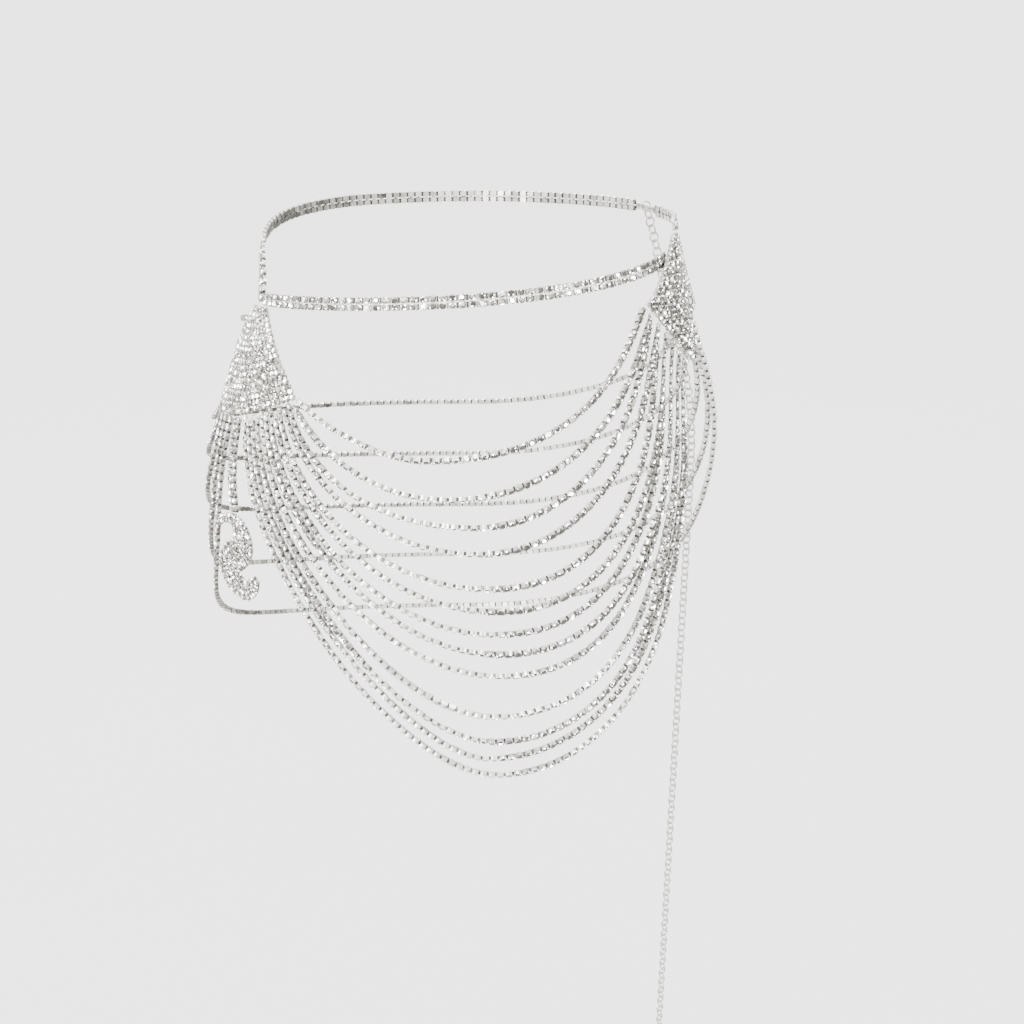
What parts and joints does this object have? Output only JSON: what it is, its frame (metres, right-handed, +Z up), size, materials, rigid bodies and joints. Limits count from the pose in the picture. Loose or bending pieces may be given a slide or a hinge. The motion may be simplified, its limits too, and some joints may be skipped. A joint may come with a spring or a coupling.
{
  "type": "waist chain",
  "caption": "Draped rhinestone cup-chain waist jewel in its worn form: belt loop, pave hip fans, front and back swags, scroll drop, clasp and a hanging extension chain.",
  "frame": {"origin": "on the upright axis of the worn waist, 5 mm above the middle of the front belt at the left hip, at the level where the belt's middle line crosses the front", "axes": "+Z up; -Y towards the viewer of the picture; +X to the right of the picture. The wearer's front points 2 degrees from -Y towards -X"},
  "size_m": [0.3155, 0.2447, 0.6544],
  "materials": {
    "cup_chain": "silver-plated cups set with clear stones",
    "pave": "silver-plated plate covered with clear stones",
    "plain_metal": "plain polished silver plate",
    "link_metal": "polished silver-plated wire"
  },
  "bodies": {
    "root": {"belt_front": "cup_chain", "belt_back": "cup_chain", "belt_side": "cup_chain", "hip_fan_left": "pave", "hip_fan_right": "pave", "front_swag_01": "cup_chain", "front_swag_02": "cup_chain", "front_swag_03": "cup_chain", "front_swag_04": "cup_chain", "front_swag_05": "cup_chain", "front_swag_06": "cup_chain", "front_swag_07": "cup_chain", "front_swag_08": "cup_chain", "front_swag_09": "cup_chain", "front_swag_10": "cup_chain", "front_swag_11": "cup_chain", "front_swag_12": "cup_chain", "front_swag_13": "cup_chain", "back_swag_01": "cup_chain", "back_swag_02": "cup_chain", "back_swag_03": "cup_chain", "back_swag_04": "cup_chain", "back_swag_05": "cup_chain", "drop_band_left": "cup_chain", "scroll_drop": "pave", "stub_left": "cup_chain", "tail_band_right": "cup_chain", "belt_end_tab": "plain_metal", "side_end_tab": "plain_metal", "clasp": "plain_metal", "clasp_ring_belt": "link_metal", "clasp_ring_side": "link_metal", "extension_chain": "link_metal"}
  },
  "joints": []
}
